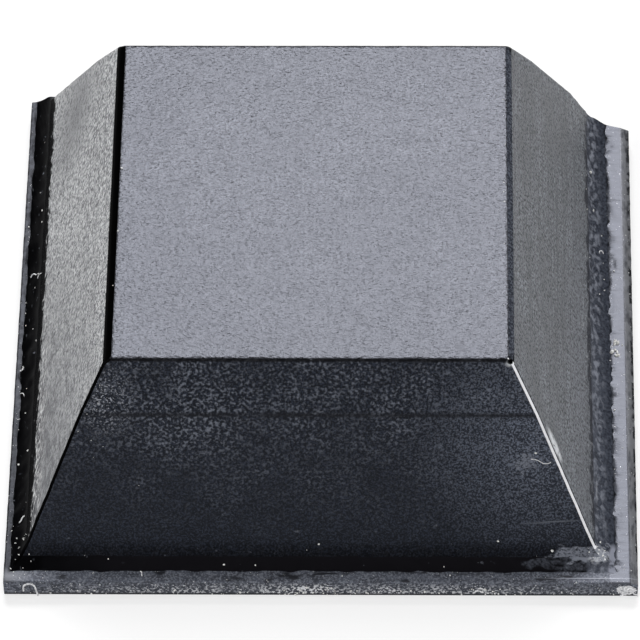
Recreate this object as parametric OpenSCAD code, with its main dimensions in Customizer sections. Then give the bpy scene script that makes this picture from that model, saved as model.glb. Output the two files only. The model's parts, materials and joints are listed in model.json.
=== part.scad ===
// Square stick-on foot of black rubber, moulded in one piece.
// It lies with its wide base down on Z = 0, the face that sticks to the
// equipment, and its small contact face up, the face that meets the table.
// The base's own outline is centred on the origin, in millimetres.
// Such feet are moulded in a sheet and cut free, so the base's edges are
// straight and upright, and they are not quite true to the body.

/* [Base] */
// Width of the base, from its left cut edge to its right one
base_w = 20.6; // [15:0.1:40]
// Depth of the base along its left cut edge
base_d = 20.25; // [15:0.05:40]
// How much the back cut comes forward on its way to the right
back_skew = 0.75; // [0:0.05:3]
// Width of the clipped corner at the back right
clip_w = 1.6; // [0.5:0.1:5]
// Depth of that clipped corner
clip_d = 0.5; // [0.1:0.05:3]
// Thickness of the flange round the body
flange_t = 0.75; // [0.3:0.05:3]

/* [Body] */
// Height of the whole foot, base to contact face
foot_h = 7.6; // [4:0.1:20]
// Width of the contact face, measured over its two bevels
top_w = 13; // [6:0.1:30]
// Depth of the contact face, front to back
top_d = 13; // [6:0.1:30]
// Place of the body's middle, to the right of the base's middle
body_x = -0.36; // [-1.5:0.01:1.5]
// Place of the body's middle, behind the base's middle
body_y = 0.32; // [-1.5:0.01:1.5]

/* [Edges and sides] */
// Width of the bevel along the left and right edges of the contact face
bevel_w = 0.15; // [0.05:0.01:0.5]
// Height of that bevel
bevel_h = 0.16; // [0.05:0.01:0.5]
// Depth below the contact face at which each side turns steeper
crease_depth = 1.8; // [0.6:0.05:3]
// Slope of each side above that crease, in degrees from level
upper_slope = 64; // [50:0.5:80]
// Slope of the left, right and front sides below that crease
lower_slope = 67.5; // [50:0.5:85]
// Slope of the back side below that crease, which leans out a little more
back_slope = 65; // [50:0.5:85]
// Radius of the hollow curve that joins each side to the flange
root_r = 0.85; // [0.2:0.01:2]

/* [Hidden] */
rubber = "#2b2c30";
// Steps in a drawn circle, fine enough to stand for a true one
round_steps = 96;
// How far the cutting shapes run past what they cut
overrun = 1;
// How deep the round cut of a root bites into the faces that it meets, so
// that it crosses them cleanly and doesn't only touch them
bite = 0.002;
// Height of the crease in each side
crease_z = foot_h - crease_depth;
// How far the flange runs out from the body's middle before it is cut
reach = base_w + base_d;

// Height at which a side of this slope runs into the root's curve
function root_z(slope) = flange_t + root_r * (1 - cos(slope));

// Distances from the body's middle to the crease, to the start of the root
// and to its end, for a side whose upper edge is the point [x, z]
function crease_x(edge) = edge[0] + (edge[1] - crease_z) / tan(upper_slope);
function root_start_x(edge, slope) = crease_x(edge) + (crease_z - root_z(slope)) / tan(slope);
function root_end_x(edge, slope) = root_start_x(edge, slope) + root_r * sin(slope);

// One half of the body's section, from its contact face down to the flange.
// The root is a straight line here, and the round cut hollows it.
function half_section(edge, slope, bevel) =
    concat(
        bevel > 0 ? [[edge[0] - bevel, foot_h]] : [],
        [
            edge,
            [crease_x(edge), crease_z],
            [root_start_x(edge, slope), root_z(slope)],
            [root_end_x(edge, slope), flange_t],
            [reach, flange_t],
            [reach, -overrun]
        ]
    );

function mirrored(points) = [for (i = [len(points) - 1 : -1 : 0]) [-points[i][0], points[i][1]]];

// Round cut that hollows one root
module root_cut(edge, slope) {
    translate([root_end_x(edge, slope), flange_t + root_r])
        circle(r = root_r + bite, $fn = round_steps);
}

// Whole section of the body and its flange, with both roots hollowed. The
// slopes are those of the side at the left and the side at the right.
module section(edge, slopes, bevel) {
    difference() {
        polygon(concat(
            half_section(edge, slopes[1], bevel),
            mirrored(half_section(edge, slopes[0], bevel))
        ));
        root_cut(edge, slopes[1]);
        mirror([1, 0])
            root_cut(edge, slopes[0]);
    }
}

// Section seen from the front, drawn out from front to back
module across() {
    rotate([90, 0, 0])
        linear_extrude(height = 2 * reach, center = true)
            section([top_w / 2, foot_h - bevel_h], [lower_slope, lower_slope], bevel_w);
}

// Section seen from the right, drawn out from left to right
module along() {
    rotate([90, 0, 90])
        linear_extrude(height = 2 * reach, center = true)
            section([top_d / 2, foot_h], [lower_slope, back_slope], 0);
}

// Outline to which the cutter trimmed the base, back corner clipped
module cut_outline() {
    clip_x = base_w / 2 - clip_w;
    back_y = base_d / 2 - back_skew;
    clip_y = back_y + back_skew * clip_w / base_w;
    polygon([
        [-base_w / 2, -base_d / 2],
        [base_w / 2, -base_d / 2],
        [base_w / 2, back_y - clip_d],
        [clip_x, clip_y],
        [-base_w / 2, base_d / 2]
    ]);
}

// The foot is what lies within both sections and within the cut outline
module rubber_foot() {
    color(rubber)
        intersection() {
            linear_extrude(height = foot_h + overrun)
                cut_outline();
            translate([body_x, body_y, 0])
                intersection() {
                    across();
                    along();
                }
        }
}

rubber_foot();
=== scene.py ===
# %% [markdown]
# # A stick-on rubber foot
# This is one of the small square feet that are stuck under a device so that it doesn't slide. It is a
# single moulding of black rubber, about 21 mm square, and it lies here with its wide sticking face down.
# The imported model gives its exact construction. This notebook models the same foot again with what makes
# it real: worn edges, a wavy skin round its root, a different finish on each face, and some dust.

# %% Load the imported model
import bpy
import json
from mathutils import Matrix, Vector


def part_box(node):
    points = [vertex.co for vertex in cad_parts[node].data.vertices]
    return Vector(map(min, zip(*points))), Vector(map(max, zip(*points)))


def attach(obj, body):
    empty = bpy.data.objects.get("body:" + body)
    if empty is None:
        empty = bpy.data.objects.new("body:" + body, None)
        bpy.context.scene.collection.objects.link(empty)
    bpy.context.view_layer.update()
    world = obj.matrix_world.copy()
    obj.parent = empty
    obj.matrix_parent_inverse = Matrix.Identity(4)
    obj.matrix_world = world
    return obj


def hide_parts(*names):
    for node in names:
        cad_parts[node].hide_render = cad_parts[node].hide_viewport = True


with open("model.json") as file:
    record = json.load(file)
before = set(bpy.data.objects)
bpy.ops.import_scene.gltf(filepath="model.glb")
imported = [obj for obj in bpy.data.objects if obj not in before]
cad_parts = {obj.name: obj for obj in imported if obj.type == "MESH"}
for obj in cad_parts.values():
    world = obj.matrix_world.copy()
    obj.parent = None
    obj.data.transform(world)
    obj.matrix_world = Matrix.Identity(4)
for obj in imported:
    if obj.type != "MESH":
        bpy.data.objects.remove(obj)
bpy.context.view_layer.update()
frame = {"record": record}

# %% [markdown]
# Blender works in metres, and this foot is thought out in millimetres, so one factor turns each size.
# The outline of the base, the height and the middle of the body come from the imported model. The slopes
# repeat those that the construction uses. The body is drawn 0.07 mm wider on each side than there, because
# the rounding of the edges takes that much away again, and 0.03 mm further right. The left bevel is the
# wider one.

# %% Sizes
import json
import math
import random

import bmesh
import bpy
from mathutils import Matrix, Vector

MM = 0.001
hair = 0.001 * MM

foot_low, foot_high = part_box("rubber_foot")
contact_mount = next(m for m in frame["record"]["mounts"] if m["name"] == "contact_face")
body_x, body_y, foot_height = contact_mount["pos_m"]
body_x += 0.03 * MM

contact_half = 6.57 * MM
left_bevel_width = 0.25 * MM
right_bevel_width = 0.15 * MM
side_bevel_height = 0.18 * MM
bevel_start = foot_height - side_bevel_height
crease_height = foot_height - 1.8 * MM
upper_slope = math.radians(64)
lower_slope = math.radians(67.5)
back_slope = math.radians(65)
root_height = 1.27 * MM
knee_height = 1.05 * MM
flange_height = 0.75 * MM
rim_height = 0.72 * MM
toe = 0.03 * MM
print("height, mm:", round(foot_height / MM, 2))

# %% [markdown]
# Each side leans out in two stages, first at the upper slope and below the crease at a steeper one. So
# the distance of a side from the body's middle follows from the height alone. The left and right faces
# start a little lower than the front and the back, under their small bevels.

# %% How far a side has run out at a height
def run_out(height, top_height, slope):
    """Distance from the body's middle to a side of the body at this height."""
    upper_drop = top_height - max(height, crease_height)
    lower_drop = max(crease_height - height, 0)
    return contact_half + upper_drop / math.tan(upper_slope) + lower_drop / math.tan(slope)


def body_outline(height):
    """Left, right, front and back of the body at this height."""
    side = run_out(height, bevel_start, lower_slope)
    front = run_out(height, foot_height, lower_slope)
    back = run_out(height, foot_height, back_slope)
    return (body_x - side, body_x + side, body_y - front, body_y + back)


def in_mm(lengths):
    return [round(v / MM, 2) for v in lengths]


print("body at its root, mm:", in_mm(body_outline(root_height)))

# %% [markdown]
# Below the body a hollow root curves outwards. It doesn't quite run out flat: it meets the flat strip
# of flange at a slight angle, and that is why the strip shines and the root beside it stays dark. The
# outlines of the strip are given by their distance in from the cut edges. At the back they run past the
# cut, because the back is trimmed later and askew, as on the real foot.

# %% Outlines round the flange
def inside_cut(left, right, front, behind):
    """Outline at these distances in from the left, right and front cut edges, and behind the back one."""
    return (
        foot_low.x + left * MM,
        foot_high.x - right * MM,
        foot_low.y + front * MM,
        foot_high.y + behind * MM,
    )


cut_edge = inside_cut(0, 0, 0, 1.6)
roll_start = inside_cut(0.05, 0.28, 0.03, 1.5)
roll_guard = inside_cut(0.06, 0.30, 0.05, 1.4)
strip_guard = inside_cut(0.16, 0.60, 0.38, 1.1)
strip_start = inside_cut(0.19, 0.73, 0.42, 1.0)


def between(outer, inner, share):
    """The outline that lies this share of the way from an outer one to an inner one."""
    return [a + share * (b - a) for a, b in zip(outer, inner)]


def root_outline(share):
    """Outline and height part of the way down the root, from 0 at the body to 1 at the strip."""
    start = body_outline(root_height)
    slopes = (lower_slope, lower_slope, lower_slope, back_slope)
    outwards = (-1, 1, -1, 1)
    stay = 1 - share
    outline = []
    for side in range(4):
        drop = (root_height - knee_height) / math.tan(slopes[side])
        knee = start[side] + outwards[side] * drop
        outline.append(stay ** 2 * start[side] + 2 * share * stay * knee + share ** 2 * strip_start[side])
    height = stay ** 2 * root_height + 2 * share * stay * knee_height + share ** 2 * flange_height
    return outline, height


print("root where it meets the strip, mm:", in_mm(root_outline(1)[0]))

# %% [markdown]
# The foot is one rubber all over, but each region has a finish of its own, from the mould, the cutter
# and the handling. Each gets a slot now, while there are few faces to sort. The finishes come later.

# %% One slot for each finish
finish_names = (
    "rubber, satin orange peel",
    "rubber, drawn sides with grey bloom",
    "rubber, mottled mould skin",
    "rubber, clean root skin",
    "rubber, flange strip",
    "rubber, die-cut edge",
    "rubber, dark parting line",
    "rubber, scuffed pale hip",
)
contact, drawn, mottled, root, strip, cut, parting, scuffed = range(len(finish_names))


def blank_material(name):
    """A material whose node tree is still empty."""
    material = bpy.data.materials.new(name)
    material.use_nodes = True
    material.node_tree.nodes.clear()
    return material


finishes = [blank_material(name) for name in finish_names]
print("finishes:", len(finishes))

# %% [markdown]
# The foot is grown upwards from its base, as one would by hand: a flat face is extruded again and
# again, and each time it is stretched to the next outline. The lines between the corners of two
# outlines become the hips of the body. Each corner also joins a vertex group with a weight of its own,
# because the line where the root meets the strip is to be made wavy later.

# %% Helpers for modelling by hand
def deselect_everything():
    """Leaves nothing selected, so that an operator acts only on what it should."""
    bpy.ops.object.select_all(action="DESELECT")


def edit_everything():
    """Enters edit mode with the whole mesh selected."""
    bpy.ops.object.mode_set(mode="EDIT")
    bpy.ops.mesh.select_mode(type="FACE")
    bpy.ops.mesh.select_all(action="SELECT")


def fit_selection(outline, height):
    """Stretches and moves what is selected until it fills this outline at this height."""
    mesh = bmesh.from_edit_mesh(bpy.context.object.data)
    chosen = [v.co for v in mesh.verts if v.select]
    low = Vector(min(c[i] for c in chosen) for i in range(3))
    high = Vector(max(c[i] for c in chosen) for i in range(3))
    left, right, front, back = outline
    scale = ((right - left) / (high.x - low.x), (back - front) / (high.y - low.y), 1)
    middle = (low + high) / 2
    bpy.ops.transform.resize(value=scale, center_override=middle)
    target = Vector(((left + right) / 2, (front + back) / 2, height))
    bpy.ops.transform.translate(value=target - middle)


# %% Start from a plane
deselect_everything()
bpy.ops.mesh.primitive_plane_add(size=2 * contact_half)
foot = bpy.context.object
foot.name = "rubber_foot_moulding"
foot.data.name = foot.name
for material in finishes:
    foot.data.materials.append(material)
wavy = foot.vertex_groups.new(name="wavy line")
edit_everything()
base_outline = (cut_edge[0] + toe, cut_edge[1] - toe, cut_edge[2] + toe, cut_edge[3])
fit_selection(base_outline, 0)
print("base, mm:", in_mm(base_outline))

# %% Grow it from outline to outline
root_steps = 7
contact_outline = (
    body_x - contact_half + left_bevel_width,
    body_x + contact_half - right_bevel_width,
    body_y - contact_half,
    body_y + contact_half,
)
rings = [
    (cut_edge, toe, 0),
    (cut_edge, rim_height, 0),
    (roll_start, flange_height, 0),
    (roll_guard, flange_height, 0),
    (between(roll_guard, strip_guard, 1 / 3), flange_height, 0.1),
    (between(roll_guard, strip_guard, 2 / 3), flange_height, 0.3),
    (strip_guard, flange_height, 0.8),
    (strip_start, flange_height, 1),
]
for step in range(root_steps - 1, -1, -1):
    outline, height = root_outline(step / root_steps)
    rings.append((outline, height, 0.35 + 0.5 * step / root_steps))
rings.append((body_outline(crease_height), crease_height, 0))
rings.append((body_outline(bevel_start), bevel_start, 0))
rings.append((contact_outline, foot_height, 0))
for outline, height, waviness in rings:
    bpy.ops.mesh.extrude_region_move()
    fit_selection(outline, height)
    bpy.context.tool_settings.vertex_group_weight = waviness
    bpy.ops.object.vertex_group_assign()
print("outlines:", len(rings) + 1)

# %% [markdown]
# With so few faces, each finish is easily found by where its faces lie and which way they look. A later
# finish takes over faces from an earlier one: the front's and the back's skin runs four steps down the
# root, the left side's one step, and the right side's none.

# %% Tests that find faces
def pick(kind, wanted):
    """Selects, in edit mode, exactly the faces, edges or vertices for which wanted(item) holds."""
    bpy.ops.mesh.select_mode(type=kind)
    bpy.ops.mesh.select_all(action="DESELECT")
    mesh = bmesh.from_edit_mesh(bpy.context.object.data)
    count = 0
    for item in {"FACE": mesh.faces, "EDGE": mesh.edges, "VERT": mesh.verts}[kind]:
        if wanted(item):
            item.select_set(True)
            count += 1
    mesh.select_flush_mode()
    bmesh.update_edit_mesh(bpy.context.object.data)
    return count


def lowest(item):
    return min(v.co.z for v in item.verts)


def highest(item):
    return max(v.co.z for v in item.verts)


def looks_sideways(face):
    return abs(face.normal.x) > abs(face.normal.y)


def reaches_rim(face):
    """True for the base, the upright cut faces and the narrow roll at their top."""
    left, right, front, back = between(roll_start, cut_edge, 0.1)
    return any(not (left < v.co.x < right and front < v.co.y < back) for v in face.verts)


def on_body(face, left_foot, right_foot, front_foot):
    """True for a face of the body's sides that ends no lower than the foot of its own side."""
    if face.normal.z > 0.99 or reaches_rim(face):
        return False
    foot_of_side = front_foot
    if looks_sideways(face):
        foot_of_side = left_foot if face.normal.x < 0 else right_foot
    return lowest(face) > foot_of_side - hair


# %% Sort the faces into their finishes
def give_finishes(sorting):
    """Gives each finish the faces for which its test holds."""
    for finish, belongs in sorting.items():
        count = pick("FACE", belongs)
        foot.active_material_index = finish
        bpy.ops.object.material_slot_assign()
        print(finish_names[finish], "-", count, "faces")


first_step, fourth_step = (root_outline(step / root_steps)[1] for step in (1, 4))
body_foot = (first_step, root_height, fourth_step)
sorting = {
    root: lambda f: highest(f) < root_height + hair,
    drawn: lambda f: on_body(f, *body_foot) and looks_sideways(f),
    mottled: lambda f: on_body(f, *body_foot) and not looks_sideways(f),
    contact: lambda f: lowest(f) > foot_height - hair,
    parting: lambda f: lowest(f) > bevel_start - hair and looks_sideways(f) and f.normal.z < 0.99,
    cut: reaches_rim,
    strip: lambda f: lowest(f) > rim_height - hair and highest(f) < flange_height + hair,
}
give_finishes(sorting)

# %% [markdown]
# The cutter dragged the rim down on the right, where the strip of flange is widest. The edge there is
# moved down as a whole, so the outer part of the strip leans outwards.

# %% Roll the right rim down
rim_drop = 0.05 * MM


def is_right_rim(edge):
    return all(v.co.x > foot_high.x - hair and abs(v.co.z - rim_height) < hair for v in edge.verts)


print("rim edges moved:", pick("EDGE", is_right_rim))
bpy.ops.transform.translate(value=(0, 0, -rim_drop))

# %% [markdown]
# At the back right the foot isn't quite true. Its hip leans in more towards its foot than the others, and
# the right cut edge runs a little outwards. The mesh is still so coarse that each outline has just one
# corner there, so only those corners are moved: the hip's, most at the foot of the body, and the rim's.

# %% Set the back right corner askew
def move_corner(lies_on_it, x, y):
    """Moves the back right corners for which the test holds by so many mm."""
    count = pick("VERT", lambda v: v.co.x > body_x and v.co.y > body_y and lies_on_it(v.co))
    bpy.ops.transform.translate(value=(x * MM, y * MM, 0))
    print("corners moved:", count)


move_corner(lambda place: abs(place.z - crease_height) < hair, -0.04, -0.04)
for step in range(root_steps):
    height = root_outline(step / root_steps)[1]
    move_corner(lambda place: abs(place.z - height) < hair, 0, -0.3 * (1 - step / root_steps))
move_corner(lambda place: place.x > roll_guard[1] - hair, 0.09, 0)

# %% [markdown]
# A real rubber edge is never razor sharp. The bevel operator rounds the hips and the contact face's rim
# in one go, so that they meet cleanly at the corners, while the mesh is still coarse. The left hip then
# carries on the dark parting line. The right one has been rubbed pale, but for the last of its three
# facets, beside the right face, and for its foot.

# %% Round the hips and the contact face's rim
hip_foot = flange_height + 0.02 * MM
edge_radius = 0.075 * MM


def span(edge):
    """How far an edge reaches along X, Y and Z."""
    a, b = (v.co for v in edge.verts)
    return Vector(abs(b[i] - a[i]) for i in range(3))


def is_sharp_edge(edge):
    reach = span(edge)
    is_hip = min(reach) > hair and lowest(edge) > hip_foot
    return is_hip or lowest(edge) > foot_height - hair


def looks_diagonally(face):
    """True for the narrow faces that the rounding has made along the hips."""
    return abs(face.normal.x) > 0.1 and face.normal.y < -0.1 and lowest(face) > hip_foot


print("edges rounded:", pick("EDGE", is_sharp_edge))
bpy.ops.mesh.bevel(offset=edge_radius, segments=3, affect="EDGES", clamp_overlap=True)
hip_sorting = {
    parting: looks_diagonally,
    scuffed: lambda f: looks_diagonally(f) and 0 < f.normal.x < 0.8,
    root: lambda f: looks_diagonally(f) and f.normal.x > 0 and highest(f) < fourth_step + hair,
}
give_finishes(hip_sorting)

# %% [markdown]
# The coarse faces are now cut into small ones that can carry the real surface. Cutting only the long
# edges that run one way leaves clean rows of quads. The cuts in one go are limited, so the length is
# divided twice. The base stays one plain face: it is taken away first and put back after the teeth.

# %% Divide the long faces
first_cuts = 9
second_cuts = 15


def divide(test, cuts):
    count = pick("EDGE", test)
    bpy.ops.mesh.subdivide(number_cuts=cuts, quadcorner="STRAIGHT_CUT")
    return count


def runs_level(edge):
    """True for an edge that is longer than 1 mm along X or Y, and hardly strays from its line."""
    reach = span(edge) / MM
    along_one = (reach.x > 1) != (reach.y > 1)
    return along_one and min(reach.x, reach.y) < 0.35 and reach.z < 0.1


def climbs(edge, at_least, below):
    """True for an edge that climbs by more than one height and less than another, in mm."""
    return at_least < span(edge).z / MM < below


pick("FACE", lambda f: highest(f) < hair)
bpy.ops.mesh.delete(type="ONLY_FACE")
print("level edges:", divide(runs_level, first_cuts), "then", divide(runs_level, second_cuts))
print("lower sides:", divide(lambda e: climbs(e, 4, 5), 37))
print("upper sides:", divide(lambda e: climbs(e, 1.3, 2), 13))
print("cut edge:", divide(lambda e: climbs(e, 0.5, 0.7), 5))

# %% [markdown]
# On the right the line between root and strip gets small teeth, about half a millimetre apart. Three
# rhythms that don't fit each other keep them from looking regular.

# %% Give the line its teeth
def is_tooth(vertex, period):
    """True for every so many vertices along the line where the root meets the strip on the right."""
    on_line = abs(vertex.co.x - strip_start[1]) < hair and abs(vertex.co.z - flange_height) < hair
    spacing = (strip_start[3] - strip_start[2]) / ((first_cuts + 1) * (second_cuts + 1))
    return on_line and round((vertex.co.y - strip_start[2]) / spacing) % period == 0


for period, reach in ((4, 0.05), (7, 0.03), (3, -0.02)):
    print("teeth:", pick("VERT", lambda v: is_tooth(v, period)))
    bpy.ops.transform.translate(value=(reach * MM, 0, 0))
pick("EDGE", lambda e: e.is_boundary)
bpy.ops.mesh.edge_face_add()

# %% [markdown]
# Feet like this are moulded in a sheet and cut free, and here the back cut went askew and took a
# corner off. At that corner the blade also leaned in, and shaved the lowest part of the hip. Three
# straight bisect cuts do the same, and each fills the face that it opens. The slivers that a cut leaves
# beside itself are merged away.

# %% Cut the back askew
sliver = 0.02 * MM
back_skew = 0.9 * MM
clip_width = 1.5 * MM
clip_depth = 0.27 * MM
shave_lean = math.radians(17.5)


def cut_back(left_point, right_point, lean=0):
    """Trims off what lies behind the plane through two points on the floor, upright or leaning in."""
    along = right_point - left_point
    outwards = Vector((-along.y, along.x, along.length * math.tan(lean))).normalized()

    def on_the_cut(item):
        return all(abs((v.co - left_point).dot(outwards)) < hair for v in item.verts)

    bpy.ops.mesh.select_all(action="SELECT")
    bpy.ops.mesh.bisect(
        plane_co=left_point, plane_no=outwards, use_fill=True, clear_outer=True, threshold=hair
    )
    pick("EDGE", on_the_cut)
    bpy.ops.mesh.remove_doubles(threshold=sliver)
    give_finishes({cut: on_the_cut})


back_left = Vector((foot_low.x, foot_high.y, 0))
back_right = Vector((foot_high.x, foot_high.y - back_skew, 0))
clip_start = back_right.lerp(back_left, clip_width / (foot_high.x - foot_low.x))
clip_end = back_right - Vector((0, clip_depth, 0))
behind = Vector((0, 0.42 * MM, 0))
cut_back(back_left, back_right)
cut_back(clip_start, clip_end)
cut_back(clip_start + behind, clip_end + behind, shave_lean)

bpy.ops.object.mode_set(mode="OBJECT")
print("faces:", len(foot.data.polygons))

# %% [markdown]
# Now the relief. A Displace modifier moves the vertices of one region by a cloud pattern, and an empty
# gives the pattern its size: stretching the empty along Y turns grains into streaks. The depths are one
# to three hundredths of a millimetre. What is finer than the mesh is left to the materials. The line
# where the root meets the strip moves much further, and in all three directions, which makes it wavy.

# %% Tools for the relief
def group_of_finish(finish):
    """A vertex group of one finish. The toe stays out of it, so that the base stays flat."""
    group = foot.vertex_groups.new(name=finish_names[finish])
    chosen = set()
    for face in foot.data.polygons:
        if face.material_index == finish:
            chosen.update(v for v in face.vertices if foot.data.vertices[v].co.z > toe + hair)
    group.add(list(chosen), 1, "REPLACE")
    return group


def roughen(group, grain, depth, direction="NORMAL", detail=2):
    """Moves a group's vertices by clouds. Their grains along X, Y and Z and their depth are in mm."""
    pattern = bpy.data.textures.new(group.name, "CLOUDS")
    pattern.noise_scale = 1
    pattern.noise_depth = detail
    pattern.cloud_type = "COLOR" if direction == "RGB_TO_XYZ" else "GRAYSCALE"
    ruler = bpy.data.objects.new("ruler", None)
    ruler.scale = Vector(grain) * MM
    bpy.context.scene.collection.objects.link(ruler)
    relief = foot.modifiers.new("relief", "DISPLACE")
    relief.vertex_group = group.name
    relief.texture = pattern
    relief.texture_coords = "OBJECT"
    relief.texture_coords_object = ruler
    relief.direction = direction
    relief.mid_level = 0.5
    relief.strength = depth * MM
    bpy.context.view_layer.update()
    bpy.ops.object.modifier_apply(modifier=relief.name)
    bpy.data.objects.remove(ruler)


# %% Roughen them
reliefs = {
    contact: ((0.35, 0.35, 0.35), 0.008),
    drawn: ((0.4, 1.8, 0.4), 0.014),
    mottled: ((0.4, 0.4, 0.4), 0.016),
    root: ((0.3, 0.5, 0.3), 0.03),
    strip: ((1.5, 0.35, 1), 0.015),
    cut: ((0.3, 0.3, 0.3), 0.02),
}
sharpest_smooth_edge = math.radians(32)
deselect_everything()
foot.select_set(True)
bpy.context.view_layer.objects.active = foot
roughen(wavy, (0.45, 0.45, 0.45), 0.12, "RGB_TO_XYZ", 1)
for finish, (grain, depth) in reliefs.items():
    roughen(group_of_finish(finish), grain, depth)
bpy.ops.object.shade_smooth_by_angle(angle=sharpest_smooth_edge)
print("vertices:", len(foot.data.vertices))

# %% [markdown]
# The finished moulding rides on the one body of the model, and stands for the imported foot.

# %% Hand the foot over
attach(foot, "root")
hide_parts("rubber_foot")
print(foot.name, "has", len(foot.data.materials), "finishes")

# %% [markdown]
# Now the finishes. Colours are written as sRGB hex values, as in any paint program, and one function
# turns them to the linear values that a shader needs. A second function adds a node, gives it its
# settings, fills or links its inputs, and hands back an output. Materials are nothing but these calls.

# %% Colours and nodes
def linear(hex_colour):
    """The linear RGBA values of an sRGB colour such as #16171a."""
    channels = [int(hex_colour[i : i + 2], 16) / 255 for i in (1, 3, 5)]
    return [c / 12.92 if c <= 0.04045 else ((c + 0.055) / 1.055) ** 2.4 for c in channels] + [1]


def add(tree, kind, inputs=None, output=None, **settings):
    """Adds a node and returns its named output, or its first one in use."""
    node = tree.nodes.new(kind)
    for name, value in settings.items():
        setattr(node, name, value)
    sockets = {socket.identifier: socket for socket in node.inputs}
    for name, value in (inputs or {}).items():
        if isinstance(value, bpy.types.NodeSocket):
            tree.links.new(value, sockets[name])
        else:
            sockets[name].default_value = value
    if output:
        return node.outputs[output]
    return next((socket for socket in node.outputs if socket.enabled), None)


print("mid grey #808080 is", round(linear("#808080")[0], 3), "as a linear value")

# %% [markdown]
# The rubber's surface is never even: it has grain, streaks, specks and rubbed spots. Three kinds of
# mask make all of them: clouds of patches, single soft spots, and spots whose edge is torn. Each is
# measured in millimetres on the object itself, so that a pattern has its true size and stays on the
# surface. A mask is 0 where there is nothing and 1 where its mark is full. The finest real grain, some
# hundredths of a millimetre wide, would be lost at the camera's distance. It is drawn 0.06 to 0.08 mm
# wide, which is as coarse as it needs to be to show.

# %% Masks
def measured_from(tree, middle, unit, turn):
    """Places on the object, counted from a middle in units, both in mm, along turned axes."""
    grid = {
        "Vector": add(tree, "ShaderNodeTexCoord", output="Object"),
        "Location": [m * MM for m in middle],
        "Rotation": turn,
        "Scale": [u * MM for u in unit],
    }
    return add(tree, "ShaderNodeMapping", grid, vector_type="TEXTURE")


def patches(tree, size, low, high, stretch=(1, 1, 1), turn=(0, 0, 0), detail=2):
    """Cloudy patches of this size in mm, cut off below one level and full above another."""
    places = measured_from(tree, (0, 0, 0), stretch, turn)
    cloud = add(tree, "ShaderNodeTexNoise", {"Vector": places, "Scale": 1 / size, "Detail": detail})
    return add(tree, "ShaderNodeMapRange", {"Value": cloud, "From Min": low, "From Max": high})


def mark(tree, middle, half_size, turn=(0, 0, 0), soft=1):
    """One rounded spot, with its middle and half its size in mm. Soft is the share that fades."""
    places = measured_from(tree, middle, half_size, turn)
    away = add(tree, "ShaderNodeVectorMath", {"Vector": places}, operation="LENGTH")
    fade = {"Value": away, "From Min": 1 - soft, "From Max": 1, "To Min": 1, "To Max": 0}
    return add(tree, "ShaderNodeMapRange", fade)


def torn(tree, mask, size, stretch=(1, 1, 1)):
    """The mask with its fading part torn into crisp ragged patches of this size in mm."""
    cloud = patches(tree, size, 0.25, 0.75, stretch, detail=5)
    both = add(tree, "ShaderNodeMath", {"Value": mask, "Value_001": cloud}, operation="ADD")
    return add(tree, "ShaderNodeMapRange", {"Value": both, "From Min": 0.9, "From Max": 1.1})


# %% [markdown]
# Rubber has an index of refraction near 1.52, and its filler of carbon black leaves almost no colour of
# its own. What one sees is mostly the shine, which is faintly blue. These values are the same in every
# finish. A finish then lays its masks over a near-black ground one by one, as layers of colour, and adds
# the relief that is too fine for the mesh.

# %% The rubber itself
def lay_over(tree, ground, layers):
    """Lays colours over a ground, each through its own mask. Layers are pairs of mask and colour."""
    ground = linear(ground)
    for mask, colour in layers:
        mix = {"Factor_Float": mask, "A_Color": ground, "B_Color": linear(colour)}
        ground = add(tree, "ShaderNodeMix", mix, data_type="RGBA")
    return ground


def times(tree, *masks):
    """The masks multiplied, so that a mark shows only where all of them are present."""
    product = masks[0]
    for mask in masks[1:]:
        product = add(tree, "ShaderNodeMath", {"Value": product, "Value_001": mask}, operation="MULTIPLY")
    return product


def rubber(tree, colour, roughness, relief=None, depth=0, level=0.5):
    """Finishes a material as rubber with this colour and roughness, and a relief this many mm deep."""
    surface = {
        "Base Color": colour,
        "Roughness": roughness,
        "IOR": 1.52,
        "Specular IOR Level": level,
        "Specular Tint": linear("#e6eafb"),
    }
    if relief:
        surface["Normal"] = add(tree, "ShaderNodeBump", {"Height": relief, "Distance": depth * MM})
    shader = add(tree, "ShaderNodeBsdfPrincipled", surface)
    add(tree, "ShaderNodeOutputMaterial", {"Surface": shader})
    print("nodes:", len(tree.nodes))


def pit(tree):
    """The small pit where the front, the right side and the contact face meet, painted dark as its shade."""
    return mark(tree, (6.12, -6.28, 7.53), (0.13, 0.13, 0.1), soft=0.3)


# %% [markdown]
# ## Satin orange peel, on the contact face
# The contact face took its skin from a blasted mould: a shallow orange peel with grains about 0.1 mm
# across, a little wider than deep. It is satin, so the light behind it lies on it as an even grey. The
# tops of the grains are rubbed a little paler. Slow changes, from half a millimetre to a few millimetres
# wide, leave soft darker mottles, and two handling marks show. Towards the front the pale tops are
# darkened as painted shade, where the soft box's reflection is weaker.

# %% Contact face
tree = finishes[contact].node_tree
peel = patches(tree, 0.1, 0.3, 0.7, stretch=(1.4, 1, 1), turn=(0, 0, -0.2), detail=2)
tops = patches(tree, 0.08, 0.4, 0.6, stretch=(1.3, 1, 1), turn=(0, 0, 0.2), detail=3)
mottle = patches(tree, 0.6, 0.45, 0.7)
dull = patches(tree, 3, 0.4, 0.62, detail=3)
# Painted shade: the pale grain tops are darkened towards the front, where the soft box's reflection is
# weaker.
front_painted_shade = mark(tree, (1, -8, 7.6), (12, 8, 5))
crease_mark = mark(tree, (5.1, 2.4, 7.6), (0.9, 0.04, 1), turn=(0, 0, -0.1))
smudge = mark(tree, (4.5, -5.75, 7.6), (0.4, 0.3, 1))
layers = [
    (tops, "#505258"),
    (times(tree, mottle, tops), "#36383d"),
    (times(tree, dull, tops), "#303136"),
    (times(tree, front_painted_shade, tops), "#26272b"),
    (crease_mark, "#020203"),
    (smudge, "#040405"),
]
colour = lay_over(tree, "#0c0c0e", layers)
gloss = add(tree, "ShaderNodeMapRange", {"Value": peel, "To Min": 0.27, "To Max": 0.22})
rubber(tree, colour, gloss, peel, 0.009)
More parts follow.
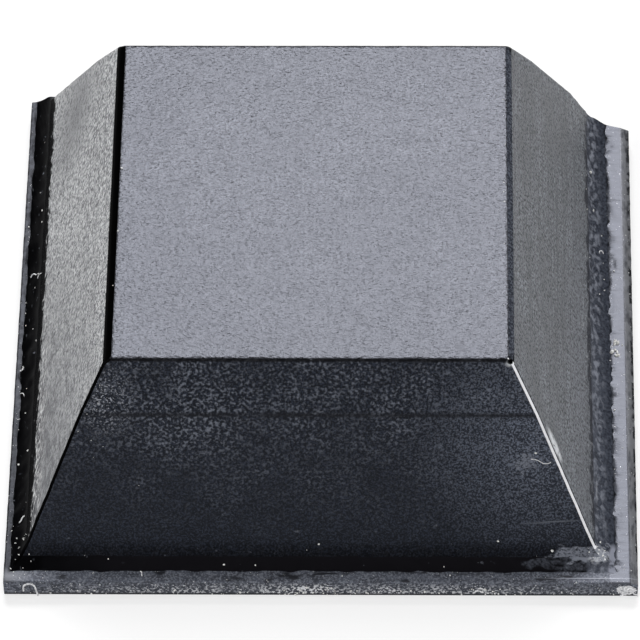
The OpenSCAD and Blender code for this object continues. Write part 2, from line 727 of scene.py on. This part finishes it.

# %% [markdown]
# ## Drawn sides with grey bloom, left and right
# On the left and the right the foot was dragged along the mould as it came out, which drew short
# streaks along Y. The dragged skin is dull, and wax bloomed out of it to a pale grey. The left side is
# painted paler than the right: partly thicker bloom, partly painted light from the left. The streaks are
# 0.06 mm wide and half as long again, and lie in rows. Low on the left face, towards the front, the skin
# has lifted in pale flakes with dark cracks. Painted shade darkens the left face at its back and its
# lower front, and paints its foot black where it turns into the hollow root.

# %% Left and right sides, where each mark lies
tree = finishes[drawn].node_tree
dashes = patches(tree, 0.06, 0.4, 0.6, stretch=(1, 1.6, 1), turn=(0.3, 0, 0), detail=3)
lines = patches(tree, 0.12, 0.45, 0.7, stretch=(1, 60, 1))
shade = patches(tree, 1.4, 0.35, 0.7, stretch=(1, 2, 1))
right_mist = mark(tree, (8.6, -3, 2.4), (0.9, 9, 1.9))
on_left = mark(tree, (-9, 0, 4), (5, 40, 40), soft=0.1)
left_ground = times(tree, on_left, patches(tree, 0.3, 0.3, 0.62, stretch=(1, 1.5, 1)))
left_dashes = times(tree, on_left, dashes)
left_pores = times(tree, on_left, patches(tree, 0.11, 0.52, 0.64, stretch=(1, 2, 1), turn=(0.7, 0, 0)))
left_lines = times(tree, lines, mark(tree, (-7.2, 1, 6.4), (1.6, 10, 1.8)))
# Painted shade on the left face: darker at its back and at its lower front.
left_back_painted_shade = mark(tree, (-8.5, 7, 4), (2.2, 3.2, 3.2))
left_front_painted_shade = mark(tree, (-9.3, -8.5, 1.3), (5, 11, 8))
blotches = times(tree, patches(tree, 0.3, 0.45, 0.62, stretch=(1, 2, 1), detail=3), left_front_painted_shade)
left_foot = mark(tree, (-9.3, -5.5, 1.7), (1.2, 9, 1), soft=0.7)
flakes = times(tree, patches(tree, 0.1, 0.5, 0.58, stretch=(1, 2, 1), turn=(0.6, 0, 0)), left_foot)
cracks = times(tree, patches(tree, 0.13, 0.5, 0.57, stretch=(1, 2.5, 0.6), turn=(0.5, 0, 0)), left_foot)
upper_left = mark(tree, (-7, -3.5, 6.9), (1.2, 6, 1.3))
rim_cracks = patches(tree, 0.08, 0.54, 0.62, stretch=(1, 1.6, 1), turn=(-0.4, 0, 0))
rim_cracks = times(tree, rim_cracks, upper_left)
rim_flecks = times(tree, patches(tree, 0.07, 0.58, 0.64), upper_left)
# Painted shade: the foot of the left side is painted black, with almost no shine, where it turns into the
# hollow root.
black_foot_painted_shade = torn(tree, mark(tree, (-9.2, 0, 1.1), (1.5, 60, 0.85), soft=0.6), 0.15, stretch=(1, 2, 1))
right_foot = torn(tree, mark(tree, (8.9, 0, 1.2), (0.7, 30, 0.6)), 0.35, stretch=(1, 1.5, 1))
crumbs = times(tree, patches(tree, 0.14, 0.62, 0.68), mark(tree, (8.7, -1, 1.6), (1, 12, 0.9)))
hip_streak = times(
    tree,
    patches(tree, 0.15, 0.3, 0.5, stretch=(1, 1, 3)),
    mark(tree, (7.58, -7.33, 4.5), (0.5, 0.27, 0.95), turn=(-0.39, 0, 0), soft=0.5),
)

# %% Left and right sides, in colour
layers = [
    (dashes, "#8c9197"),
    (times(tree, lines, dashes), "#4c4e51"),
    (times(tree, shade, dashes), "#5e6063"),
    (times(tree, right_mist, dashes), "#7e8188"),
    # The left side is painted paler than the right: partly bloom, partly painted light from the left.
    (on_left, "#525456"),
    (left_ground, "#6c6e70"),
    (left_dashes, "#d2d3d4"),
    (left_pores, "#4c4d4f"),
    (left_lines, "#626365"),
    (times(tree, left_back_painted_shade, left_dashes), "#48494c"),
    (times(tree, left_front_painted_shade, left_dashes), "#48494c"),
    (times(tree, blotches, on_left), "#46474a"),
    (flakes, "#dcdcdc"),
    (cracks, "#0b0b0c"),
    (rim_cracks, "#2a2a2c"),
    (rim_flecks, "#d8d8d8"),
    (black_foot_painted_shade, "#040405"),
    (right_foot, "#1e2026"),
    (crumbs, "#a4a6aa"),
    (hip_streak, "#dcdee2"),
    (pit(tree), "#020202"),
]
colour = lay_over(tree, "#1e1f21", layers)
shine = add(tree, "ShaderNodeMapRange", {"Value": black_foot_painted_shade, "To Min": 0.5, "To Max": 0.02})
rubber(tree, colour, 0.5, dashes, 0.02, level=shine)

# %% [markdown]
# ## Mottled mould skin, front and back
# The front and the back kept the skin that the mould gave them. It is nearly black with a hint of blue,
# and has a fine grain all over. Larger and paler grains, 0.1 mm across, are where release powder
# stuck. They crowd near the upper edge and thin out towards the root, where painted shade darkens the
# skin to black. A dark line runs under the upper edge, and another along the crease is painted shade
# of the fine step that the mould left there.

# %% Front and back, where each mark lies
tree = finishes[mottled].node_tree
fine = patches(tree, 0.06, 0.48, 0.6, detail=3)
worms = patches(tree, 0.1, 0.5, 0.68, detail=4)
crowd = patches(tree, 1.1, 0.25, 0.65)
upper = mark(tree, (0, 0, 7.2), (90, 90, 6.2), soft=0.95)
powder = times(tree, worms, crowd, upper)
left_crowd = times(tree, worms, mark(tree, (-4, -6.9, 5.6), (2.6, 3, 1.9)))
near_hip = mark(tree, (7.2, -7, 4.8), (4.5, 5, 4.5))
hip_flecks = times(tree, patches(tree, 0.07, 0.56, 0.62), mark(tree, (-6.8, -6.8, 6.2), (1.1, 1.5, 1.6)))
# Painted shade: the skin darkens to black towards the root.
root_shade = mark(tree, (0, 0, 0.5), (90, 90, 0.95), soft=0.7)
edge_line = mark(tree, (0, 0, 7.6), (90, 90, 0.1), soft=0.4)
waver = patches(tree, 0.5, 0.2, 0.5, stretch=(3, 1, 1))
# Painted shade of the fine step that the mould left along the crease.
crease_line = times(tree, mark(tree, (0, 0, 5.8), (90, 90, 0.12)), waver)
rub_spot = torn(tree, mark(tree, (6.6, -7.7, 4.15), (0.62, 1, 0.5), turn=(0, -0.3, 0)), 0.2)
rub_spot = times(tree, patches(tree, 0.06, 0.3, 0.6), rub_spot)
scratch = mark(tree, (7.5, -8.6, 2.1), (1.3, 1, 0.045), turn=(0, -0.07, 0))
pit_rim = times(tree, patches(tree, 0.1, 0.35, 0.5), mark(tree, (6.1, -6.32, 7.47), (0.2, 0.3, 0.13)))
corner_scuff = torn(tree, mark(tree, (8.5, -9.05, 1.0), (1.7, 0.8, 0.36), soft=0.7), 0.25, stretch=(2, 1, 1))
corner_scuff = times(tree, patches(tree, 0.08, 0.3, 0.55, detail=3), corner_scuff)

# %% Front and back, in colour
layers = [
    (near_hip, "#20242d"),
    (fine, "#262b36"),
    (powder, "#6c717c"),
    (left_crowd, "#767b86"),
    (times(tree, near_hip, fine), "#6a707d"),
    (hip_flecks, "#a0a3ac"),
    (crease_line, "#06070b"),
    (edge_line, "#020203"),
    (root_shade, "#09090b"),
    (rub_spot, "#6e727c"),
    (scratch, "#5c6068"),
    (pit_rim, "#d0d2d6"),
    (pit(tree), "#020202"),
    (corner_scuff, "#747882"),
]
colour = lay_over(tree, "#05080e", layers)
shine = add(tree, "ShaderNodeMapRange", {"Value": root_shade, "To Min": 0.2, "To Max": 0.05})
rubber(tree, colour, 0.45, worms, 0.02, level=shine)

# %% [markdown]
# ## Clean root skin
# In the hollow of the root nothing ever rubbed, so the rubber stayed clean and deep black. Only on the
# right is it dirty: a film of fine grey dust lies there with paler islands in it, drawn out along Y. At
# the front right corner it is dusty and scuffed, with a few white knots.

# %% Root, where each mark lies
tree = finishes[root].node_tree
right_side = mark(tree, (9.1, -0.5, 0.9), (0.52, 30, 3), soft=0.15)
film = times(tree, patches(tree, 0.09, 0.3, 0.7, detail=3), right_side)
islands = patches(tree, 0.17, 0.47, 0.66, stretch=(1, 1.5, 1), detail=5)
islands = times(tree, islands, mark(tree, (8.98, -0.5, 0.9), (0.45, 30, 3), soft=0.6))
cloud = times(tree, patches(tree, 0.5, 0.3, 0.6, detail=4), mark(tree, (8.9, -4, 1), (0.6, 6, 1)))
streak = mark(tree, (9.0, -6.7, 0.95), (0.05, 0.8, 0.3))
dusty = torn(tree, mark(tree, (8.2, -9.4, 0.85), (2.8, 0.6, 0.4)), 0.3, stretch=(2, 1, 1))
dusty = times(tree, patches(tree, 0.08, 0.3, 0.65, detail=3), dusty)
scuff = torn(tree, mark(tree, (8.5, -9.1, 0.97), (1.7, 0.6, 0.5)), 0.2, stretch=(1.5, 1, 1))
knots = times(tree, patches(tree, 0.08, 0.45, 0.55), mark(tree, (9.0, -9.15, 0.9), (0.45, 0.35, 0.3)))
pale_corner = mark(tree, (9.52, -9.35, 0.78), (0.24, 0.8, 0.13), soft=0.3)
left_side = mark(tree, (-9.7, 0, 1), (0.75, 60, 1), soft=0.3)
hairs = times(tree, patches(tree, 0.3, 0.66, 0.72, stretch=(0.3, 1, 1), detail=5), left_side)
front_side = mark(tree, (0, -9.5, 0.9), (9.4, 0.7, 2), soft=0.3)

# %% Root, in colour
layers = [
    (front_side, "#121114"),
    (right_side, "#1c1f27"),
    (film, "#464a54"),
    (cloud, "#4c505a"),
    (islands, "#787c86"),
    (streak, "#a0a3aa"),
    (pale_corner, "#858894"),
    (dusty, "#454850"),
    (scuff, "#7a7e88"),
    (knots, "#e0e2e6"),
    (hairs, "#3a3c40"),
]
colour = lay_over(tree, "#050506", layers)
shine = add(tree, "ShaderNodeMapRange", {"Value": left_side, "To Min": 0.1, "To Max": 0.02})
rubber(tree, colour, 0.32, islands, 0.02, level=shine)

# %% [markdown]
# ## The strip of flange
# The flat strip outside the root has the contact face's satin skin. On the right it is widest, cleanest
# and palest, with faint lines across it from the mould, and its outer part leans outwards and is
# darker. At the front and on the left it is dull and smeared with black, and a fine pale line runs near
# the front edge on the right.

# %% Flange strip, where each mark lies
tree = finishes[strip].node_tree
lines_across = patches(tree, 0.16, 0.35, 0.65, stretch=(6, 1, 1))
on_right = mark(tree, (10, 0, 0.75), (0.7, 30, 3), soft=0.1)
bright = times(tree, on_right, lines_across)
outer = mark(tree, (10.33, 0, 0.75), (0.3, 40, 3), soft=0.05)
outer_fold = mark(tree, (10.05, 0, 0.75), (0.03, 40, 3), soft=0.5)
outer_stain = times(tree, outer, patches(tree, 0.3, 0.5, 0.66, stretch=(0.5, 1.5, 1), detail=4))
outer_nicks = times(
    tree,
    mark(tree, (10.33, 0, 0.72), (0.09, 40, 3), soft=0.3),
    patches(tree, 0.3, 0.42, 0.55, detail=3),
)
on_left = mark(tree, (-10.2, 0, 0.75), (0.3, 12, 3), soft=0.2)
left_stain = times(tree, on_left, patches(tree, 0.25, 0.44, 0.56, stretch=(1, 1.3, 1), detail=4))
front_left = mark(tree, (-10.2, -7, 0.75), (0.3, 5, 3), soft=0.5)
left_holes = times(tree, patches(tree, 0.14, 0.5, 0.56), front_left)
smears = patches(tree, 0.2, 0.35, 0.65, stretch=(3, 1, 1), detail=4)
black_smears = patches(tree, 0.22, 0.56, 0.66, stretch=(3, 1, 1), detail=4)
in_front = mark(tree, (0, -9.9, 0.75), (9.7, 0.35, 3), soft=0.1)
front_line = mark(tree, (8.8, -9.94, 0.75), (1.9, 0.025, 1), soft=0.6)
grit = patches(tree, 0.07, 0.7, 0.74)
sand = patches(tree, 0.06, 0.46, 0.62, detail=3)
left_corner = mark(tree, (-10.1, -9.9, 0.75), (0.8, 0.35, 1))

# %% Flange strip, in colour
layers = [
    (smears, "#4c505a"),
    (sand, "#72767f"),
    (times(tree, in_front, black_smears), "#121317"),
    (on_right, "#2b2d33"),
    (bright, "#40434b"),
    (on_left, "#404247"),
    (front_left, "#2c2f31"),
    (left_stain, "#0c0d0e"),
    (left_holes, "#040404"),
    (left_corner, "#77797e"),
    (outer, "#66676a"),
    (outer_stain, "#3c3d40"),
    (outer_fold, "#343538"),
    (outer_nicks, "#0a0a0b"),
    (front_line, "#9a9da6"),
    (grit, "#d8d8d8"),
]
colour = lay_over(tree, "#2e3037", layers)
gloss = add(tree, "ShaderNodeMapRange", {"Value": on_right, "To Min": 0.5, "To Max": 0.27})
rubber(tree, colour, gloss, lines_across, 0.003)

# %% [markdown]
# ## The die-cut edge
# A steel rule cut the foot free and left a torn, matt surface with a fine tooth. Paper dust from the
# backing sheet clings to it, mostly low down where the backing was.

# %% Cut edge
tree = finishes[cut].node_tree
tooth = patches(tree, 0.08, 0.42, 0.62, detail=3)
low_down = mark(tree, (0, -10.1, 0.12), (11, 0.1, 0.65), soft=0.8)
heaps = patches(tree, 1.2, 0.25, 0.6)
crumbs = times(tree, patches(tree, 0.08, 0.52, 0.6, detail=3), low_down, heaps)
cluster = times(tree, patches(tree, 0.08, 0.5, 0.56), mark(tree, (-0.3, -10.1, 0.3), (1, 0.2, 0.5)))
paper_dust = patches(tree, 0.07, 0.66, 0.7)
bottom_line = mark(tree, (0, 0, 0), (90, 90, 0.15), soft=0.3)
layers = [
    (tooth, "#6a6e78"),
    (crumbs, "#f4f5f8"),
    (cluster, "#f4f5f8"),
    (paper_dust, "#e4e6ea"),
    (bottom_line, "#060607"),
]
colour = lay_over(tree, "#2c2f36", layers)
rubber(tree, colour, 0.7, tooth, 0.02)

# %% [markdown]
# ## The dark parting line
# The small bevels beside the contact face lie where the two halves of the mould met. They are clean and
# have almost no shine, so the left one, and the front left hip below it, draw a black line. The one on
# the right is a little bluer and holds a row of tiny white specks.

# %% Parting line
tree = finishes[parting].node_tree
on_right = mark(tree, (6.1, 0.32, 7.5), (0.5, 6.7, 0.5), soft=0.05)
grit = times(tree, on_right, patches(tree, 0.08, 0.45, 0.6))
inner_rim = mark(tree, (6, 0, 7.6), (0.07, 30, 0.07), soft=0.2)
dust = times(tree, inner_rim, patches(tree, 0.09, 0.66, 0.7))
layers = [(on_right, "#2a2d35"), (grit, "#565a64"), (dust, "#e4e4e4"), (pit(tree), "#020202")]
colour = lay_over(tree, "#020202", layers)
rubber(tree, colour, 0.25, level=0.01)

# %% [markdown]
# ## The scuffed hip
# The front right hip has been rubbed along a table edge until it turned white, as black rubber does
# where its skin is broken. At its top there is a small pit, whose shade is painted dark, and its foot
# frays out into a duller grey.

# %% Scuffed hip
tree = finishes[scuffed].node_tree
rubbed = patches(tree, 0.2, 0.3, 0.6)
frayed = torn(tree, mark(tree, (9, -9.25, 0.95), (0.7, 0.7, 0.55)), 0.12)
dark = add(tree, "ShaderNodeMath", {"Value": frayed, "Value_001": pit(tree)}, operation="MAXIMUM")
layers = [(rubbed, "#f4f4f6"), (frayed, "#8a8e96"), (pit(tree), "#020202")]
colour = lay_over(tree, "#e4e4e6", layers)
shine = add(tree, "ShaderNodeMapRange", {"Value": dark, "To Min": 1, "To Max": 0})
rubber(tree, colour, 0.3, level=shine)

# %% [markdown]
# # Dust and lint
# Rubber is tacky, so a foot that has lain about gathers white specks and fibres. They are things of
# their own that lie on the foot, so they are modelled and not painted. One crumb is modelled: a small
# ball whose points are pushed about at random. Each speck is a copy of it with its own mesh, turned and
# sized at random, laid where a ray meets the foot and pressed a little into it. The seed is fixed.

# %% One crumb of dust
random.seed(7)
deselect_everything()
bpy.ops.mesh.primitive_ico_sphere_add(subdivisions=2, radius=1)
crumb = bpy.context.object
crumb.name = "crumb"
edit_everything()
bpy.ops.transform.vertex_random(offset=0.25, seed=3)
bpy.ops.transform.resize(value=(1, 0.8, 0.6))
bpy.ops.object.mode_set(mode="OBJECT")
print("faces of a crumb:", len(crumb.data.polygons))

# %% [markdown]
# A speck is placed by two numbers on a face of the foot. From above, a ray is dropped at X and Y. On the
# front cut face, a ray is shot backwards at X and Z.

# %% Lay a speck on the foot
well_outside = 20


def find_on_foot(x, y=None, z=None):
    """The point of the foot and its normal under X and Y, or behind X and Z, all in mm."""
    start = Vector((x, y, well_outside)) if z is None else Vector((x, -well_outside, z))
    direction = Vector((0, 0, -1)) if z is None else Vector((0, 1, 0))
    return foot.ray_cast(start * MM, direction)[1:3]


def lay_speck(size, **place):
    """Lays one speck of this size in mm, with its middle a tenth of its size above the surface."""
    point, normal = find_on_foot(**place)
    speck = crumb.copy()
    speck.data = crumb.data.copy()
    speck.location = point + normal * 0.1 * size * MM
    speck.scale = [size / 2 * MM * random.uniform(0.7, 1.3) for _ in range(3)]
    speck.rotation_euler = [random.uniform(0, math.tau) for _ in range(3)]
    bpy.context.scene.collection.objects.link(speck)
    return speck


def scatter(count, size, x, y=None, z=None):
    """Lays specks at random within ranges of X and Y, or of X and Z, mostly small ones."""
    made = []
    for _ in range(count):
        place = {"x": random.uniform(*x)}
        if z:
            place["z"] = random.uniform(*z)
        else:
            place["y"] = random.uniform(*y)
        made.append(lay_speck(size * random.uniform(0.5, 1) ** 2, **place))
    return made


# %% Scatter the specks
dust = [
    *scatter(70, 0.10, x=(-10.0, 10.0), z=(0.04, 0.30)),
    *scatter(34, 0.10, x=(-1.2, 0.7), z=(0.05, 0.50)),
    *scatter(16, 0.11, x=(4.8, 5.9), z=(0.1, 0.40)),
    *scatter(24, 0.09, x=(-10.2, -9.6), y=(-9.9, 8.5)),
    *scatter(16, 0.08, x=(9.6, 10.25), y=(-9.8, 7.5)),
    *scatter(14, 0.19, x=(9.62, 9.85), y=(-0.9, 0.0)),
    *scatter(16, 0.07, x=(-10.1, -9.4), y=(-9.8, -8.3)),
    *scatter(10, 0.12, x=(8.7, 9.3), y=(-9.3, -8.7)),
    *scatter(10, 0.09, x=(8.7, 9.5), y=(1.5, 7)),
    *scatter(12, 0.07, x=(-9.5, 9.5), y=(-9.9, -9.0)),
    *scatter(12, 0.06, x=(-8.5, -5.5), y=(-8.2, -6.6)),
    *scatter(12, 0.05, x=(5.9, 6.02), y=(-6, 6.5)),
]
chosen_specks = (
    (0.13, 7.52, -9.11),
    (0.09, 5.76, -8.94),
    (0.10, -0.05, -8.99),
    (0.08, 6.95, -7.66),
    (0.14, 9.01, 6.70),
    (0.10, 9.09, 5.08),
    (0.07, -6.56, 1.60),
    (0.08, -6.59, -1.03),
    (0.06, -6.67, -3.26),
)
for size, x, y in chosen_specks:
    dust.append(lay_speck(size, x=x, y=y))
bpy.data.objects.remove(crumb)
print("specks:", len(dust))

# %% [markdown]
# All specks become one piece, and later all fibres another. Paper dust and cotton lint are loose white
# fibres that scatter light to all sides, so they look quite matt, with soft darker patches.

# %% Join the specks
def join_into(name, parts, material):
    """Joins parts into one piece at the origin, smooths it and gives it its material."""
    deselect_everything()
    for part in parts:
        part.select_set(True)
    bpy.context.view_layer.objects.active = parts[0]
    bpy.ops.object.join()
    bpy.ops.object.transform_apply(location=True, rotation=True, scale=True)
    piece = bpy.context.object
    piece.name = name
    piece.data.name = name
    piece.data.materials.clear()
    piece.data.materials.append(material)
    bpy.ops.object.shade_smooth()
    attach(piece, "root")
    print(name, "-", len(piece.data.polygons), "faces")


def matt_white(name, pale, dark, size):
    """A dull white stuff with soft darker patches of this size in mm."""
    material = blank_material(name)
    tree = material.node_tree
    colour = lay_over(tree, pale, [(patches(tree, size, 0.4, 0.7), dark)])
    stuff = {"Base Color": colour, "Roughness": 0.9, "IOR": 1.47}
    shader = add(tree, "ShaderNodeBsdfPrincipled", stuff)
    add(tree, "ShaderNodeOutputMaterial", {"Surface": shader})
    return material


join_into("dust_specks", dust, matt_white("paper dust, matt white", "#f4f4f2", "#c8c8c6", 0.04))

# %% [markdown]
# A fibre of lint is a fine tube through a few arcs. A small disc is set at its start and spun from one
# arc to the next, always in the plane of the face that it lies on. Positive angles turn to the left as
# one looks at that face, which for the operator is a negative turn. Spinning can turn a tube inside
# out, so its normals are recalculated.

# %% Spin a fibre
def lay_fibre(heading, arcs, thickness, **place):
    """Spins one fibre that just touches the foot. Arcs are pairs of degrees and a radius in mm."""
    point, normal = find_on_foot(**place)
    point = point + normal * 0.4 * thickness * MM
    heading = Vector(heading)
    along = (heading - heading.dot(normal) * normal).normalized()
    deselect_everything()
    bpy.ops.mesh.primitive_circle_add(
        vertices=7,
        radius=thickness / 2 * MM,
        fill_type="NGON",
        location=point,
        rotation=along.to_track_quat("Z", "Y").to_euler(),
    )
    edit_everything()
    for angle, radius in arcs:
        turn = math.radians(angle)
        centre = point + normal.cross(along) * math.copysign(radius, angle) * MM
        steps = 3 + int(abs(angle) / 20)
        bpy.ops.mesh.spin(steps=steps, angle=-turn, center=centre, axis=normal)
        rotation = Matrix.Rotation(turn, 3, normal)
        point = centre + rotation @ (point - centre)
        along = rotation @ along
    bpy.ops.mesh.select_all(action="SELECT")
    bpy.ops.mesh.normals_make_consistent(inside=False)
    bpy.ops.object.mode_set(mode="OBJECT")
    return bpy.context.object


# %% Lay the fibres
up, down, left, right = (0, 0, 1), (0, 0, -1), (-1, 0, 0), (1, 0, 0)
backwards = (0, 1, 0)
fibres = [
    lay_fibre(up, [(-3, 4), (-170, 0.19), (4.8, 5.5)], 0.06, x=-9.66, z=0.25),
    lay_fibre(right, [(70, 0.1), (-120, 0.08), (60, 0.12)], 0.06, x=4.95, z=0.22),
    lay_fibre(left, [(-60, 0.15), (90, 0.1)], 0.05, x=5.4, z=0.34),
    lay_fibre(right, [(80, 0.1), (-130, 0.07), (50, 0.1)], 0.05, x=-10.15, y=-1.6),
    lay_fibre(backwards, [(100, 0.2), (-140, 0.2), (60, 0.3)], 0.025, x=-9.95, y=-2.7),
    lay_fibre(right, [(30, 0.6), (-50, 0.4)], 0.02, x=-10.15, y=-3.6),
    lay_fibre(right, [(70, 0.12), (-90, 0.1)], 0.05, x=-9.85, y=-7.9),
    lay_fibre(backwards, [(-150, 0.1), (60, 0.1)], 0.04, x=-9.95, y=2.3),
    lay_fibre(backwards, [(-120, 0.12), (150, 0.1)], 0.03, x=-9.7, y=2.1),
    lay_fibre(right, [(-40, 0.5), (80, 0.25)], 0.025, x=6.8, y=-7.75),
    lay_fibre(up, [(-70, 0.09), (20, 0.3)], 0.04, x=-5.85, y=-9.72),
    lay_fibre(backwards, [(140, 0.08), (60, 0.1)], 0.03, x=9.4, y=3.4),
]
print("fibres:", len(fibres))

# %% [markdown]
# At the front right corner a tuft of lint is rolled up on the cut face. Its body is a flattened ball
# with random bumps, and a few curls stick out of it.

# %% Roll up the tuft
tuft_place = find_on_foot(x=9.93, z=0.38)[0]
deselect_everything()
bpy.ops.mesh.primitive_ico_sphere_add(subdivisions=3, radius=MM, location=tuft_place)
tuft = bpy.context.object
edit_everything()
bpy.ops.transform.resize(value=(0.32, 0.08, 0.22))
bpy.ops.transform.vertex_random(offset=0.045 * MM, seed=5)
bpy.ops.object.mode_set(mode="OBJECT")
curls = (
    (up, 9.68, 0.35, [(-130, 0.1), (-60, 0.2)]),
    (up, 9.95, 0.5, [(-150, 0.09), (90, 0.1)]),
    (right, 10.0, 0.3, [(120, 0.12), (-60, 0.1)]),
    (left, 9.9, 0.25, [(-140, 0.1)]),
    (down, 10.15, 0.35, [(80, 0.1), (-90, 0.08)]),
    (right, 9.72, 0.2, [(60, 0.2), (-70, 0.1)]),
)
stand_out = 0.09 * MM
for heading, x, z, arcs in curls:
    fibres.append(lay_fibre(heading, arcs, 0.05, x=x, z=z))
    fibres[-1].location.y -= stand_out
join_into("lint", [tuft, *fibres], matt_white("lint, matt cotton", "#f6f6f8", "#b4b5b9", 0.06))

# %% [markdown]
# # The studio
# The foot lies on a wide sheet of pale paper. The paper keeps the foot's shadow. Part of its white is
# its own glow, which the camera and mirror-like surfaces see but which lights nothing. The glow grows
# with the distance from the foot, where the lamps reach less and less, so the sheet looks even.

# %% Paper floor
deselect_everything()
bpy.ops.mesh.primitive_plane_add(size=4)
floor = bpy.context.object
floor.name = "paper_sheet"
paper = blank_material("paper, matt white")
tree = paper.node_tree
sheet = add(
    tree,
    "ShaderNodeBsdfPrincipled",
    {"Base Color": linear("#bcbcbc"), "Roughness": 0.9, "Specular IOR Level": 0.1},
)
seen = add(tree, "ShaderNodeLightPath", output="Is Camera Ray")
for kind in ("Is Glossy Ray", "Is Transmission Ray"):
    ray = add(tree, "ShaderNodeLightPath", output=kind)
    seen = add(tree, "ShaderNodeMath", {"Value": seen, "Value_001": ray}, operation="MAXIMUM")
near = mark(tree, (0, 0, 0), (900, 900, 900))
glow = add(tree, "ShaderNodeMapRange", {"Value": near, "To Min": 1, "To Max": 0.55})
glow = add(tree, "ShaderNodeMath", {"Value": seen, "Value_001": glow}, operation="MULTIPLY")
glow = add(tree, "ShaderNodeEmission", {"Color": linear("#ffffff"), "Strength": glow})
both = add(tree, "ShaderNodeAddShader", {"Shader": sheet, "Shader_001": glow})
add(tree, "ShaderNodeOutputMaterial", {"Surface": both})
floor.data.materials.append(paper)
print("nodes:", len(tree.nodes))

# %% [markdown]
# Black rubber shows its lights more than its colour. A soft box behind and above the foot is mirrored
# in the contact face and in the strip, which turns both pale grey. Two panels stand low at the left and
# the right. They light dust, lint and dry patches, and no face mirrors them towards the camera, so the
# clean rubber stays black. They are wide and dim, so that the contact face, seen from low behind, mirrors
# them as grey and not as white.

# %% Lights
lamp_distance = 0.6


def panel(name, azimuth, elevation, size, radiance):
    """A flat soft light. Azimuth 0 is behind the foot and 90 to its right, in degrees."""
    turn = math.radians(azimuth)
    lift = math.radians(elevation)
    towards = Vector((math.sin(turn) * math.cos(lift), math.cos(turn) * math.cos(lift), math.sin(lift)))
    place = towards * lamp_distance
    light = bpy.data.lights.new(name, "AREA")
    light.shape = "RECTANGLE"
    light.size, light.size_y = size
    light.energy = math.pi * light.size * light.size_y * radiance
    lamp = bpy.data.objects.new(name, light)
    lamp.location = place
    lamp.rotation_euler = place.to_track_quat("Z", "Y").to_euler()
    bpy.context.scene.collection.objects.link(lamp)
    print(name, "gives", round(light.energy, 2), "W")


panel("back_softbox", 0, 53, (0.30, 0.26), 10.5)
panel("left_panel", -112, 24, (0.8, 0.42), 3)
panel("right_panel", 115, 24, (0.8, 0.42), 2.3)

# %% [markdown]
# The room around the lamps is dim and neutral. It keeps the clean black rubber from having no shape at
# all.

# %% Room
world = bpy.data.worlds.new("dim room")
bpy.context.scene.world = world
world.use_nodes = True
world.node_tree.nodes.clear()
air = {"Color": linear("#ffffff"), "Strength": 0.08}
air = add(world.node_tree, "ShaderNodeBackground", air)
add(world.node_tree, "ShaderNodeOutputWorld", {"Surface": air})
print("room:", world.name)

# %% [markdown]
# A long lens looks at the foot from above the front, from about 18 cm away. Its turns are given one by
# one: round the foot, down towards it, and a small roll of the camera about its own axis.

# %% Camera
camera_data = bpy.data.cameras.new("camera")
camera_data.lens = 306.6
camera_data.sensor_width = 36
camera_data.clip_start = 0.01
camera = bpy.data.objects.new("camera", camera_data)
camera_place = Vector((3.651, -111.138, 145.977)) * MM
view_azimuth = math.radians(1.952)
view_elevation = math.radians(52.408)
view_roll = math.radians(-1.443)
turn = Matrix.Rotation(view_azimuth, 4, "Z") @ Matrix.Rotation(math.pi / 2 - view_elevation, 4, "X")
turn = turn @ Matrix.Rotation(view_roll, 4, "Z")
camera.matrix_world = Matrix.Translation(camera_place) @ turn
bpy.context.scene.collection.objects.link(camera)
bpy.context.scene.camera = camera
bpy.context.scene.view_settings.view_transform = "Standard"
print("camera is", round(camera_place.length / MM), "mm from the foot")
